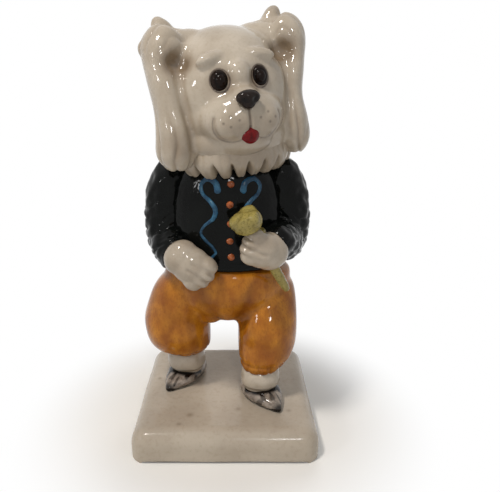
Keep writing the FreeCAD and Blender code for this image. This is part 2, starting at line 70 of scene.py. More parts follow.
def middle(node):
    """Middle of a construction node's box, in millimetres."""
    low, high = corners(node)
    return (low + high) / 2


SIDES = {"right": -1, "left": 1}
PLINTH_LOW, PLINTH_HIGH = corners("plinth")
PLINTH_TOP = PLINTH_HIGH.z
CUFF = corners("right_sock")[1].z
WAIST = corners("jacket_body")[0].z
ANKLE = {side: middle(f"{side}_sock") for side in SIDES}
TORSO_X, TORSO_Y = middle("breeches_seat").x, middle("breeches_seat").y
print(f"plinth top {PLINTH_TOP:.1f}, cuffs {CUFF:.1f}, waist {WAIST:.1f}")
print(f"torso at {TORSO_X:.2f}, {TORSO_Y:.2f}")

# %% [markdown]
# The head is turned and rolled a little, so it is easier to model in a frame of its own: +X to the dog's
# left, -Y out of the nose, +Z out of the crown. One matrix then carries every piece of the head to its
# place.

# %% The head's own frame
SKULL = Vector((33.0, 31.0, 31.8))
HEAD_TURN, HEAD_ROLL = math.radians(15), math.radians(-7)
head_low, head_high = corners("head")
HEAD_AT = Vector(((head_low.x + head_high.x) / 2, head_high.y - SKULL.y / 2, head_high.z - SKULL.z / 2))
HEAD = (Matrix.Translation(HEAD_AT) @ Matrix.Rotation(HEAD_TURN, 4, "Z") @ Matrix.Rotation(HEAD_ROLL, 4, "Y"))
print("head centre, mm:", [round(c, 2) for c in HEAD_AT])

# %% [markdown]
# ## Clay tools
# A `ball` is an egg of clay and a `roll` is a coil of changing thickness. Both only have to overlap their
# neighbours, because `knead` runs a voxel remesh over the heap and turns it into one watertight skin with
# soft joins. A potter's thumb does the same. Smoothing afterwards takes away the steps that the voxels
# leave.

# %% Balls and rolls of clay
THINNEST = 0.05


def ball(clay, place, size, turn=(0, 0, 0)):
    """Adds an egg of clay of these full sizes, turned by degrees about X, Y and Z."""
    spin = Euler([math.radians(a) for a in turn]).to_matrix().to_4x4()
    shape = Matrix.Translation(place) @ spin @ Matrix.Diagonal((*[s / 2 for s in size], 1))
    bmesh.ops.create_icosphere(clay, subdivisions=4, radius=1, matrix=shape)


def eased(stops, steps):
    """Points on a smooth curve through some stops, by Catmull and Rom's rule."""
    stops = np.array(stops, float)
    ends = np.vstack([2 * stops[0] - stops[1], stops, 2 * stops[-1] - stops[-2]])
    points = []
    for spot in np.linspace(0, len(stops) - 1, steps):
        first = min(int(spot), len(stops) - 2)
        a, b, c, d = ends[first:first + 4]
        share = spot - first
        points.append(0.5 * (2 * b + (c - a) * share + (2 * a - 5 * b + 4 * c - d) * share ** 2
                             + (3 * b - a - 3 * c + d) * share ** 3))
    return np.array(points)


def roll(clay, stops, steps=24, around=40, level=False):
    """Adds a coil through stops (x, y, z, half width, half depth). Level rings suit trunks and legs."""
    rings = []
    points = eased(stops, steps)
    for count, (x, y, z, wide, deep) in enumerate(points):
        ahead = Vector(points[min(count + 1, steps - 1)][:3]) - Vector(points[max(count - 1, 0)][:3])
        up = Vector((0, 0, 1)) if level else ahead.normalized()
        across = (Vector((1, 0, 0)) - up * up.x).normalized()
        facing = Matrix((across, up.cross(across), up)).transposed().to_4x4()
        shape = Matrix.Diagonal((max(wide, THINNEST), max(deep, THINNEST), 1, 1))
        place = Matrix.Translation((x, y, z)) @ facing @ shape
        made = bmesh.ops.create_circle(clay, cap_ends=count in (0, steps - 1), radius=1, segments=around,
                                       matrix=place)
        rings.append(list({edge for vert in made["verts"] for edge in vert.link_edges}))
    for lower, upper in zip(rings[:-1], rings[1:]):
        bmesh.ops.bridge_loops(clay, edges=lower + upper)


# %% Kneading, and tooling grooves


def knead(clay, lump=0.35, rounds=4):
    """Fuses a heap of overlapping clay into one skin, lump millimetres fine, and smooths it."""
    bmesh.ops.recalc_face_normals(clay, faces=clay.faces)
    rough = bpy.data.meshes.new("heap")
    clay.to_mesh(rough)
    heap = bpy.data.objects.new("heap", rough)
    bpy.context.collection.objects.link(heap)
    fuse = heap.modifiers.new("knead", "REMESH")
    fuse.mode, fuse.voxel_size = "VOXEL", lump
    skin = bpy.data.meshes.new_from_object(heap.evaluated_get(bpy.context.evaluated_depsgraph_get()))
    clay.clear()
    clay.from_mesh(skin)
    bpy.data.objects.remove(heap)
    bpy.data.meshes.remove(rough)
    bpy.data.meshes.remove(skin)
    for _ in range(rounds):
        bmesh.ops.smooth_vert(clay, verts=clay.verts, factor=0.5,
                              use_axis_x=True, use_axis_y=True, use_axis_z=True)


def tool(clay, depth_at, pooling=1.0):
    """Pushes the skin in or out by depth_at(points), in mm. Grooves are kept as "pool"."""
    clay.normal_update()
    push = depth_at(np.array([vert.co for vert in clay.verts]))
    pool_and_shade = clay.verts.layers.float.get("pool_and_shade") or clay.verts.layers.float.new("pool_and_shade")
    for vert, step in zip(clay.verts, push):
        vert.co += vert.normal * float(step)
        vert[pool_and_shade] += max(0.0, -float(step)) * pooling


def draw_up(clay, lift_at):
    """Moves the skin straight up by lift_at(points)."""
    for vert, lift in zip(clay.verts, lift_at(np.array([vert.co for vert in clay.verts]))):
        vert.co.z += float(lift)


def brush(clay, layer, amount_at):
    """Paints a named layer from 0 to 1, for the materials to read."""
    coat = clay.verts.layers.float.get(layer) or clay.verts.layers.float.new(layer)
    for vert, amount in zip(clay.verts, amount_at(np.array([vert.co for vert in clay.verts]))):
        vert[coat] = min(1.0, max(vert[coat], float(amount)))


# %% [markdown]
# A groove, a fold or a brush line is a distance to a path. The same two functions serve them all: one
# measures the distance from each point to a line of stops, and the other turns it into a soft-edged stroke.
# Grain is seeded by its own offset, so that every run gives the same figure.

# %% Strokes and grain


def away_from(points, path):
    """How far each point is from a path, in mm."""
    nearest = np.full(len(points), 1e9)
    for start, end in zip(path[:-1], path[1:]):
        step = end - start
        share = np.clip((points - start) @ step / max(step @ step, 1e-9), 0, 1)
        nearest = np.minimum(nearest, np.linalg.norm(points - start - share[:, None] * step, axis=1))
    return nearest


def stroke(points, stops, width, steps=12):
    """1 on a path and 0 a width away from it."""
    return np.exp(-(away_from(points, eased(stops, steps)) / (0.5 * width)) ** 2)


def grain(points, size, seed=0.0):
    """Smooth noise from about -1 to 1, with lumps of this size in mm."""
    return np.array([noise.noise(Vector(p) / size + Vector((seed, -seed, 3 * seed))) for p in points])


def ease(value, low, high):
    """0 below low, 1 above high, and an S-curve between."""
    share = np.clip((value - low) / (high - low), 0, 1)
    return share * share * (3 - 2 * share)


def ridges(phase):
    """Rounded locks with sharp valleys between them: 0 on a lock's crown and -1 in a valley."""
    return -(1 - np.abs(np.sin(phase))) ** 2


# %% [markdown]
# ## Setting the piece in the scene
# Each piece ends as a smooth mesh in metres, with its object at the origin. It rides on the figure's one
# rigid body and stands for the construction nodes that it replaces.

# %% Finish a piece


def set_out(clay, name, finish, slot, *nodes):
    """Turns clay into a finished piece. The nodes are the construction nodes that it stands for."""
    bmesh.ops.scale(clay, vec=(MM, MM, MM), verts=clay.verts)
    mesh = bpy.data.meshes.new(name)
    clay.to_mesh(mesh)
    clay.free()
    mesh.shade_smooth()
    mesh.materials.append(finish)
    piece = bpy.data.objects.new(name, mesh)
    bpy.context.collection.objects.link(piece)
    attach(piece, "root")
    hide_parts(*nodes)
    print(f"{name}: {sum(len(face.vertices) - 2 for face in mesh.polygons)} triangles")


# %% [markdown]
# ## Glazes
# A glaze is a thin coat of glass. Its colour varies where the coat is thick or thin, it gathers darker in
# grooves, and its surface has a faint orange peel, so that highlights break up. All of them share one
# recipe: two shades in soft patches, a fine speckle, a pool shade where tools left a groove and where shade
# is painted on, and a little change in gloss. Object coordinates are in metres, so a pattern of n
# millimetres has a scale of 1000 / n.

# %% Colours and nodes


def paint(code):
    """An sRGB hex colour as the linear colour that the nodes want."""
    parts = [int(code[i:i + 2], 16) / 255 for i in (1, 3, 5)]
    return (*[c / 12.92 if c <= 0.04045 else ((c + 0.055) / 1.055) ** 2.4 for c in parts], 1.0)


def add(tree, kind, sockets=None, **settings):
    """Adds a node with its settings. A socket takes a plain value or another node's output."""
    node = tree.nodes.new("ShaderNode" + kind)
    for setting, value in settings.items():
        setattr(node, setting, value)
    for socket, value in (sockets or {}).items():
        if isinstance(value, bpy.types.NodeSocket):
            tree.links.new(value, node.inputs[socket])
        else:
            node.inputs[socket].default_value = value
    return node


def blended(tree, amount, first, second):
    """One colour over another by an amount."""
    node = add(tree, "Mix", {0: amount, 6: first, 7: second}, data_type="RGBA")
    return node.outputs[2]


# %% The glaze recipe


def glaze(name, thin, thick, pooled_and_shaded, speck, patch=7.0, fleck=0.7, flecks=0.35, gloss=0.09, peel=0.02,
          stretch=1.0, lustre=0.5):
    """A fired glaze in four shades. Patch and fleck are sizes in mm, and peel is the depth of its orange peel
    in mm. Flecks is how strongly the flecks show, gloss how rough the surface is, stretch how far the pattern
    is drawn out upwards, and lustre how much it mirrors."""
    finish = bpy.data.materials.new(name)
    finish.use_nodes = True
    tree = finish.node_tree
    shader = tree.nodes["Principled BSDF"]
    where = add(tree, "TexCoord").outputs["Object"]
    brushed = add(tree, "Mapping", {"Vector": where, "Scale": (1, 1, 1 / stretch)}).outputs["Vector"]
    soft = add(tree, "TexNoise", {"Vector": brushed, "Scale": 1000 / patch, "Detail": 3.0, "Roughness": 0.55})
    fine = add(tree, "TexNoise", {"Vector": brushed, "Scale": 1000 / fleck, "Detail": 2.0, "Roughness": 0.6})
    patches = add(tree, "MapRange", {"Value": soft.outputs[0], "From Min": 0.35, "From Max": 0.65})
    spots = add(tree, "MapRange", {"Value": fine.outputs[0], "From Min": 0.5, "From Max": 0.72,
                                   "To Max": flecks})
    # The pool layer also carries painted shade, brushed on under the face, on the paws, over the ruff and
    # under the jacket.
    pool_and_shade = add(tree, "Attribute", attribute_name="pool_and_shade").outputs["Fac"]
    pool_and_shade_amount = add(tree, "MapRange", {"Value": pool_and_shade, "From Max": 0.45, "To Max": 0.9}).outputs[0]
    colour = blended(tree, patches.outputs[0], paint(thin), paint(thick))
    colour = blended(tree, spots.outputs[0], colour, paint(speck))
    colour = blended(tree, pool_and_shade_amount, colour, paint(pooled_and_shaded))
    tree.links.new(colour, shader.inputs["Base Color"])
    shine = add(tree, "MapRange", {"Value": soft.outputs[0], "To Min": gloss * 0.6, "To Max": gloss * 1.5})
    tree.links.new(shine.outputs[0], shader.inputs["Roughness"])
    skin = add(tree, "TexNoise", {"Vector": where, "Scale": 1000 / 1.6, "Detail": 1.0})
    bump = add(tree, "Bump", {"Height": skin.outputs[0], "Distance": peel * MM, "Strength": 1.0})
    tree.links.new(bump.outputs[0], shader.inputs["Normal"])
    shader.inputs["IOR"].default_value = 1.5
    shader.inputs["Specular IOR Level"].default_value = lustre
    return finish


def overpaint(finish, layer, code, sharp=0.35):
    """Brushes a colour over a glaze wherever a painted layer says so."""
    tree = finish.node_tree
    shader = tree.nodes["Principled BSDF"]
    under = shader.inputs["Base Color"].links[0].from_socket
    layer_value = add(tree, "Attribute", attribute_name=layer).outputs["Fac"]
    edge = add(tree, "MapRange", {"Value": layer_value, "From Min": 0.5 - sharp, "From Max": 0.5 + sharp})
    tree.links.new(blended(tree, edge.outputs[0], under, paint(code)), shader.inputs["Base Color"])


# %% [markdown]
# The body shows through a clear glaze: warm off-white on the dog, a shade greyer and faintly speckled on
# the plinth. The breeches are brushed with amber, mottled by the sponge, and darken to chestnut in the
# folds. The jacket's thick black glaze hides the clay altogether, and its low lustre keeps a white room
# from turning it grey.

# %% The glazes of this figure
# Clear glaze on white clay: wet highlights on warm white, and brown where it fills the grooves.
# The same brown is brushed on as painted shade under the face, on the paws and over the ruff.
white_glaze = glaze("clear_glaze_on_white_clay", "#C0B5A5", "#B0A493", "#76644F", "#9E907C", patch=9.0,
                    flecks=0.25, peel=0.045, lustre=0.42)
# The plinth's coat is duller and cloudier, so that it looks heavy and leaves the shine to the dog.
plinth_glaze = glaze("clear_glaze_on_plinth", "#BAAF9F", "#ADA191", "#6F604C", "#9A8C79", patch=14.0,
                     fleck=1.1, flecks=0.3, gloss=0.16, lustre=0.22)
# Brushed amber: warm patches that tell of the brush, and chestnut creases that show where the cloth gathers.
# The same chestnut is brushed on as painted shade under the jacket, and darkens the cuffs.
amber_glaze = glaze("brushed_amber_underglaze", "#BC7A20", "#9C5B14", "#5E2A0A", "#7C4410", patch=3.2,
                    fleck=0.5, flecks=0.45, gloss=0.07, stretch=1.8, lustre=0.22)
# Black gloss has no shades of its own. Its folds show only as sharp glints, so that it looks deep and wet.
jacket_glaze = glaze("black_gloss_glaze", "#070807", "#0C0E0D", "#030303", "#111516", patch=6.0, gloss=0.06,
                     peel=0.1, lustre=0.1)
# Trailed slip is uneven, and its patches of pale and navy blue make the line look poured and not printed.
braid_slip = glaze("trailed_blue_slip", "#2F5F7C", "#1A3A55", "#11283C", "#4F86A0", patch=1.8, fleck=0.5,
                   gloss=0.09, lustre=0.2)
# Orange-brown enamel: small warm points that lead the eye down the jacket.
button_enamel = glaze("orange_brown_enamel", "#A4592F", "#824020", "#562610", "#BE7A4C", patch=1.2, fleck=0.4,
                      lustre=0.25)
# Speckled olive: strong freckles and a blurred shine set the flower apart from the smooth white paw.
bud_glaze = glaze("speckled_olive_glaze", "#A39552", "#8E8044", "#5C5226", "#5E5628", patch=2.6, fleck=0.5,
                  flecks=0.75, gloss=0.12, lustre=0.3)
# Grey slip under a clear glaze: light and dark streaks that look like worn leather.
shoe_glaze = glaze("grey_slip_under_glaze", "#A0958A", "#776C62", "#2C241E", "#C4BAAC", patch=1.6, fleck=0.5,
                   gloss=0.07, stretch=0.6, lustre=0.25)
# Red enamel is the one strong colour on the head, and it draws the eye to the mouth.
tongue_enamel = glaze("red_enamel", "#741316", "#620E12", "#3A090B", "#8A2020", patch=2.0, gloss=0.07,
                      lustre=0.12)
# Dark brown enamel is the smoothest finish here, so that the eyes look deep.
eye_enamel = glaze("dark_brown_enamel", "#1D100A", "#130A07", "#0B0604", "#2A1810", patch=1.4, gloss=0.03,
                   lustre=0.1)
# The nose is a little lighter and less smooth than the eyes, so that it looks damp.
nose_enamel = glaze("brown_black_enamel", "#241A16", "#181210", "#0E0A08", "#30261F", patch=1.6, gloss=0.08,
                    lustre=0.14)
# Brush lines: brown draws the mouth, whisker dots and eye rims, and black edges the slippers.
overpaint(white_glaze, "ink", "#4A3A30")
overpaint(shoe_glaze, "ink", "#140F0C")
print("glazes:", len(bpy.data.materials))

# %% [markdown]
# ## Studio
# A figurine this small is looked down on a little. The camera stands about 14 cm in front of it. The floor
# is pale and matt near the figure, where it holds the soft shadow, and turns plain white further out.

# %% Camera
CAMERA_AT = Vector((2.88, -136.08, 91.39))
CAMERA_TILT = math.radians(73.5)
view = bpy.data.cameras.new("view")
view.lens, view.sensor_width, view.shift_x = 37.368, 36, 0.028
view.clip_start = 0.005
camera = bpy.data.objects.new("camera", view)
camera.location, camera.rotation_euler = CAMERA_AT * MM, (CAMERA_TILT, 0, 0)
bpy.context.collection.objects.link(camera)
bpy.context.scene.camera = camera
bpy.context.scene.view_settings.view_transform = "Standard"

# %% Lights


def lamp(name, place, aim, size, watts, tint="#FFFFFF", mirrored=True):
    """A square studio light, in mm, aimed at a point of the figure. Glazes mirror it if mirrored is true."""
    light = bpy.data.lights.new(name, "AREA")
    light.size, light.energy, light.color = size * MM, watts, paint(tint)[:3]
    stand = bpy.data.objects.new(name, light)
    stand.location = Vector(place) * MM
    stand.visible_glossy = mirrored
    stand.rotation_euler = (Vector(aim) - Vector(place)).to_track_quat("-Z", "Y").to_euler()
    bpy.context.collection.objects.link(stand)


BODY_AT = (0, 0, 60)
lamp("key", (-130, -140, 390), BODY_AT, 54, 0.86, "#FFF8F0")
lamp("front_window", (50, -320, 235), BODY_AT, 34, 0.2)
lamp("side_window", (-240, -190, 170), BODY_AT, 30, 0.1)
lamp("fill", (230, -220, 200), BODY_AT, 200, 0.06, mirrored=False)
lamp("back", (60, 260, 260), BODY_AT, 160, 0.3, mirrored=False)

# %% White surroundings
# The room is plain white to the camera and in the glazes, but lights the figure with only part of that.
ROOM_GLOW = 0.18
world = bpy.data.worlds.new("white_room")
bpy.context.scene.world = world
world.use_nodes = True
room = world.node_tree
rays = add(room, "LightPath")
seen = add(room, "Math", {0: rays.outputs["Is Camera Ray"], 1: rays.outputs["Is Glossy Ray"]},
           operation="ADD")
seen = add(room, "Math", {0: seen.outputs[0], 1: rays.outputs["Is Transmission Ray"]}, operation="ADD",
           use_clamp=True)
strength = add(room, "MapRange", {"Value": seen.outputs[0], "To Min": ROOM_GLOW, "To Max": 1.0})
room.links.new(strength.outputs[0], room.nodes["Background"].inputs["Strength"])
room.nodes["Background"].inputs["Color"].default_value = paint("#FFFFFF")

# %% Pale floor
# Matt card holds the soft shadow that seats the figure, and between these distances it fades to plain white.
FADE_START, FADE_END = 28 * MM, 62 * MM
floor_clay = bmesh.new()
bmesh.ops.create_grid(floor_clay, x_segments=1, y_segments=1, size=1.5)
floor_mesh = bpy.data.meshes.new("floor")
floor_clay.to_mesh(floor_mesh)
floor_clay.free()
floor = bpy.data.objects.new("floor", floor_mesh)
bpy.context.collection.objects.link(floor)
pale = bpy.data.materials.new("pale_matt_card")
pale.use_nodes = True
card = pale.node_tree
card_shader = card.nodes["Principled BSDF"]
card_shader.inputs["Base Color"].default_value = paint("#F4F3F0")
card_shader.inputs["Roughness"].default_value = 0.8
card_place = add(card, "TexCoord").outputs["Object"]
reach = add(card, "VectorMath", {0: card_place}, operation="LENGTH").outputs["Value"]
fade = add(card, "MapRange", {"Value": reach, "From Min": FADE_START, "From Max": FADE_END},
           interpolation_type="SMOOTHSTEP")
card_rays = add(card, "LightPath")
card_seen = add(card, "Math", {0: card_rays.outputs["Is Camera Ray"], 1: card_rays.outputs["Is Glossy Ray"]},
                operation="ADD", use_clamp=True)
lit = add(card, "Math", {0: fade.outputs[0], 1: card_seen.outputs[0]}, operation="MULTIPLY")
white_card = add(card, "Emission", {"Color": paint("#FFFFFF"), "Strength": 1.0})
card_mix = add(card, "MixShader", {0: lit.outputs[0], 1: card_shader.outputs[0], 2: white_card.outputs[0]})
card.links.new(card_mix.outputs[0], card.nodes["Material Output"].inputs["Surface"])
floor_mesh.materials.append(pale)

# %% [markdown]
# ## The plinth
# The plinth is press moulded: a square slab with generous soft edges, hollow underneath so that it fires
# evenly. It starts as a block whose edges are bevelled. The underside is inset and pushed up for the
# hollow. Then the whole slab is kneaded and given a slow waviness, because pottery is never quite flat.
# Kneading leaves its foot a little above the floor, so the slab is stretched down to it. Iron specks burn
# out on the top.

# %% Plinth
PLINTH_CORNER, PLINTH_EDGE, PLINTH_WALL, PLINTH_HOLLOW = 4.2, 4.0, 3.2, 4.4
plinth = bmesh.new()
plinth_size = PLINTH_HIGH - PLINTH_LOW
bmesh.ops.create_cube(plinth, size=1, matrix=Matrix.Translation(middle("plinth"))
                      @ Matrix.Diagonal((*plinth_size, 1)))
upright = [e for e in plinth.edges if abs(e.verts[0].co.z - e.verts[1].co.z) > 1]
bmesh.ops.bevel(plinth, geom=upright, offset=PLINTH_CORNER, segments=8, profile=0.5, affect="EDGES",
                material=-1)
brim = [e for e in plinth.edges if min(v.co.z for v in e.verts) > PLINTH_HIGH.z - 0.01]
bmesh.ops.bevel(plinth, geom=brim, offset=PLINTH_EDGE, segments=8, profile=0.5, affect="EDGES", material=-1)
base = [face for face in plinth.faces if max(v.co.z for v in face.verts) < 0.01]
bmesh.ops.inset_individual(plinth, faces=base, thickness=PLINTH_WALL, depth=-PLINTH_HOLLOW)
knead(plinth, lump=0.5, rounds=3)
tool(plinth, lambda p: 0.16 * grain(p, 15, 2.0) - 0.1, pooling=0)
lowest = min(vert.co.z for vert in plinth.verts)
bmesh.ops.scale(plinth, vec=(1, 1, PLINTH_TOP / (PLINTH_TOP - lowest)), verts=plinth.verts,
                space=Matrix.Translation((0, 0, -PLINTH_TOP)))
SPECKS = [(-9.5, -15.5, 0.9), (-12, -19.5, 0.6), (3.5, -12.5, 0.7), (17.2, -13.5, 0.6), (12.5, 8, 0.5),
          (-20, 3, 0.5)]
brush(plinth, "pool_and_shade", lambda p: sum(0.28 * np.exp(-((p[:, 0] - x) ** 2 + (p[:, 1] - y) ** 2) / r ** 2)
                                    * (p[:, 2] > PLINTH_TOP - 1.5) for x, y, r in SPECKS))
set_out(plinth, "plinth_slab", plinth_glaze, "plinth_glaze", "plinth")

# %% [markdown]
# ## Slippers and socks
# Pointed slippers of black-edged grey slip turn out from the ankles. Each is one coil from heel to toe with
# its sole sliced flat, so that it sits on the plinth. Brushed black marks the sole's edge, the opening and
# the tip.

# %% Slippers
TOE_OUT = 27
SHOE_STOPS = [(0, 8.1, 0.9, 0.9, 0.8), (0, 6.4, 1.5, 3.1, 2.1), (0, 2.4, 1.7, 4.9, 2.6),
              (0, -2.0, 1.7, 5.1, 2.7), (0, -6.0, 1.4, 3.7, 2.1), (0, -9.0, 1.0, 1.8, 1.4),
              (0, -10.7, 0.8, 0.5, 0.7)]
SHOE_CREST = [(0, -4.5, 4.6), (0, -7.5, 3.6), (0, -10.5, 2.2)]
SHOE_OPENING = [(-4.6, -0.5, 2.6), (-3.0, -4.2, 3.4), (0, -5.2, 4.0), (3.0, -4.2, 3.4), (4.6, -0.5, 2.6)]
SOLE_EDGE = 1.1


def shoe_ink(points):
    """Brushed black on the sole's edge, the tip, the heel and the opening, and in streaks along the upper."""
    sole = np.clip(1 - points[:, 2] / SOLE_EDGE, 0, 1)
    tip = ease(-points[:, 1], 8.6, 10.4) * 0.8
    heel = ease(points[:, 1], 5.2, 7.2)
    opening = np.clip(stroke(points, SHOE_OPENING, 1.7) * 1.1, 0, 1)
    streaks = 0.6 * ease(grain(points * (2.4, 0.5, 1), 2.2, 8.0), 0.15, 0.4)
    return sole + tip + heel + opening + streaks


for side, way in SIDES.items():
    shoe = bmesh.new()
    roll(shoe, SHOE_STOPS, steps=30)
    knead(shoe, lump=0.25)
    tool(shoe, lambda p: -0.35 * stroke(p, SHOE_CREST, 1.0) + 0.1 * grain(p, 3.0, 5.0))
    brush(shoe, "ink", shoe_ink)
    bmesh.ops.bisect_plane(shoe, geom=shoe.verts[:] + shoe.edges[:] + shoe.faces[:], plane_co=(0, 0, -0.15),
                           plane_no=(0, 0, -1), clear_outer=True)
    bmesh.ops.holes_fill(shoe, edges=[e for e in shoe.edges if e.is_boundary], sides=0)
    turn_out = Matrix.Rotation(math.radians(way * TOE_OUT), 4, "Z")
    place = Matrix.Translation((ANKLE[side].x, ANKLE[side].y, PLINTH_TOP))
    bmesh.ops.transform(shoe, matrix=place @ turn_out, verts=shoe.verts)
    set_out(shoe, f"{side}_slipper", shoe_glaze, "shoe_glaze", f"{side}_shoe")

# %% Socks
SOCK_RADIUS = 5.3
SOCK_RINGS = [(10.4, 0.72), (11.4, 0.88), (12.6, 1.0), (14.2, 1.06), (16.0, 1.02), (17.2, 0.92), (18.4, 0.7)]
for side in SIDES:
    x, y = ANKLE[side].x, ANKLE[side].y
    sock = bmesh.new()
    roll(sock, [(x, y, z, SOCK_RADIUS * share, SOCK_RADIUS * share) for z, share in SOCK_RINGS], level=True)
    knead(sock, lump=0.3)
    tool(sock, lambda p: 0.22 * grain(p, 3.5, 3.0) - 0.3 * np.exp(-((p[:, 2] - 12.3) / 0.5) ** 2))
    set_out(sock, f"{side}_sock_roll", white_glaze, "white_glaze", f"{side}_sock")

# %% [markdown]
# ## Breeches
# The two baggy legs and the seat come out of moulds as separate hollow shells and are luted together. To
# let the glaze run over the seams, they are kneaded as one skin first and parted afterwards along the same
# slanting seams. Creases fan out of the crotch, and small gathers pull in above the socks.

# %% Breeches as one skin
KNEE = {"right": (-13.8, 2.6, 9.5), "left": (11.6, -3.2, 8.2)}
THIGH = {"right": 11.3, "left": 10.7}
HIP_SPLAY = 8.4
SEAT_RINGS = [(30.2, 5, 5), (32.2, 17, 16), (38.2, 32.2, 24.3), (44.3, 35, 25), (46.6, 31, 23),
              (47.3, 29.5, 22)]
breeches = bmesh.new()
for side, way in SIDES.items():
    knee_x, knee_y, knee = KNEE[side]
    foot_x, foot_y = ANKLE[side].x, ANKLE[side].y
    thigh_x, hip_x = TORSO_X + way * THIGH[side], TORSO_X + way * HIP_SPLAY
    stops = [(foot_x, foot_y, CUFF - 0.2, 4.9, 4.9),
             (foot_x, foot_y, CUFF + 0.7, 5.5, 5.5),
             ((foot_x + knee_x) / 2, (foot_y + knee_y) / 2, CUFF + 3.2, 0.86 * knee, 0.86 * knee),
             (knee_x, knee_y, CUFF + 7.8, 0.98 * knee, 0.98 * knee),
             (knee_x, knee_y, CUFF + 14, knee, knee),
             (thigh_x, TORSO_Y, CUFF + 22.5, 0.97 * knee, 0.98 * knee),
             (hip_x, TORSO_Y, CUFF + 27.6, 0.84 * knee, 0.84 * knee),
             (hip_x, TORSO_Y, WAIST - 0.4, 0.6 * knee, 0.6 * knee)]
    roll(breeches, stops, steps=40, level=True)
roll(breeches, [(TORSO_X, TORSO_Y, z, wide / 2, deep / 2) for z, wide, deep in SEAT_RINGS], level=True)
for way in (-1, 1):
    ball(breeches, (TORSO_X + way * 4.6, TORSO_Y - 0.5, 32.6), (8, 13, 7.6))
knead(breeches, lump=0.42, rounds=14)
print("breeches skin:", len(breeches.faces), "faces")

# %% Creases and gathers


def breeches_folds(points):
    """Groin creases, gathers above the socks and the lumps of a cast surface."""
    depth = 0.22 * grain(points, 6, 11.0)
    front = points[:, 1] < TORSO_Y
    for way in (-1, 1):
        crease = [(TORSO_X + way * 3.2, -7.5, 31.5), (TORSO_X + way * 5.6, -10.8, 37.5),
                  (TORSO_X + way * 7.6, -11.6, 44)]
        depth -= 0.6 * stroke(points, crease, 4.2) * front
    depth -= 0.25 * stroke(points, [(-7, -10.5, 37), (-11.5, -9.5, 41)], 2.0)
    depth -= 0.25 * stroke(points, [(9, -11.5, 38), (14, -9.5, 42.5)], 2.0)
    for side in SIDES:
        x, y = ANKLE[side].x, ANKLE[side].y
        angle = np.arctan2(points[:, 1] - y, points[:, 0] - x)
        near = np.hypot(points[:, 0] - x, points[:, 1] - y) < 9.5
        cuff = near * (1 - ease(points[:, 2], CUFF + 0.8, CUFF + 5.5))
        depth += 0.4 * cuff * ridges(5.5 * angle + 0.6 * grain(points, 5, 4.0))
        depth -= 0.3 * near * np.exp(-((points[:, 2] - CUFF - 2.6 - 0.5 * grain(points, 4, 6.0)) / 0.5) ** 2)
    return depth


def breeches_patches_and_painted_shade(points):
    """Sponged patches, a darker edge at the cuffs, and painted shade under the jacket."""
    patches = 0.12 * ease(grain(points * (1, 1, 0.5), 3.5, 15.0), 0, 0.5)
    cuffs = 0.25 * (1 - ease(points[:, 2], CUFF, CUFF + 3))
    waist = 0.2 * ease(points[:, 2], 45.6, 47)
    return patches + cuffs + waist


tool(breeches, breeches_folds, pooling=0.5)
brush(breeches, "pool_and_shade", breeches_patches_and_painted_shade)

# %% Part the breeches at their seams


def cut_away(clay, at, facing):
    """Removes the clay on the side that facing points to, and closes the cut with a sharp-edged face."""
    bmesh.ops.bisect_plane(clay, geom=clay.verts[:] + clay.edges[:] + clay.faces[:], plane_co=at,
                           plane_no=facing, clear_outer=True)
    rim = [edge for edge in clay.edges if edge.is_boundary]
    bmesh.ops.holes_fill(clay, edges=rim, sides=0)
    for edge in rim:
        edge.smooth = False


SEAM_OUT, SEAM_Z, SEAM_LEAN = 3.4, 31, math.radians(24)
for side, way in SIDES.items():
    leg = breeches.copy()
    facing = Vector((-way * math.cos(SEAM_LEAN), 0, math.sin(SEAM_LEAN)))
    cut_away(leg, (TORSO_X + way * SEAM_OUT, 0, SEAM_Z), facing)
    set_out(leg, f"{side}_breeches_leg_shell", amber_glaze, "amber_glaze", f"{side}_breeches_leg")
for way in (-1, 1):
    facing = Vector((way * math.cos(SEAM_LEAN), 0, -math.sin(SEAM_LEAN)))
    cut_away(breeches, (TORSO_X + way * SEAM_OUT, 0, SEAM_Z), facing)
set_out(breeches, "breeches_seat_shell", amber_glaze, "amber_glaze", "breeches_seat")

# %% [markdown]
# ## Jacket
# The jacket is a barrel shaped casting under a thick black glaze. It closes in front, with a hem band
# below. The sleeves are cast apart and stuck on at the shoulders, and their crinkled folds catch the sharp
# highlights.

# %% Jacket body
JACKET_RISE = 28.6
JACKET_RINGS = [(0.0, 31.0, 23.6), (0.05, 31.8, 24.2), (0.2, 31.6, 24.1), (0.46, 32.2, 24.6),
                (0.72, 30.1, 23.1), (0.9, 25, 20), (1.0, 17, 15), (1.1, 12, 12)]
jacket = bmesh.new()
roll(jacket, [(TORSO_X, TORSO_Y, WAIST + share * JACKET_RISE, wide / 2, deep / 2)
              for share, wide, deep in JACKET_RINGS], steps=44, level=True)
knead(jacket, lump=0.4)
HEM_BAND = WAIST + 2.6
FRONT_CLOSING = [(TORSO_X - 2.4, -11.6, z) for z in (50, 55, 60, 66, 72)]


def jacket_folds(points):
    """The hem band's groove, the closing down the front, panel edges and a cast surface's dents."""
    depth = 0.14 * grain(points, 4, 21.0) - 0.28 * np.exp(-((points[:, 2] - HEM_BAND) / 0.45) ** 2)
    depth -= 0.22 * stroke(points, FRONT_CLOSING, 0.9) * (points[:, 2] > HEM_BAND)
    for way in (-1, 1):
        depth -= 0.2 * stroke(points, [(TORSO_X + way * 9.8, -9.6, 72), (TORSO_X + way * 10.2, -9.8, 60),
                                       (TORSO_X + way * 9.6, -10, 50)], 1.2)
    return depth


tool(jacket, jacket_folds, pooling=0)
jacket_skin = BVHTree.FromBMesh(jacket)
set_out(jacket, "jacket_shell", jacket_glaze, "jacket_glaze", "jacket_body")

# %% Sleeves


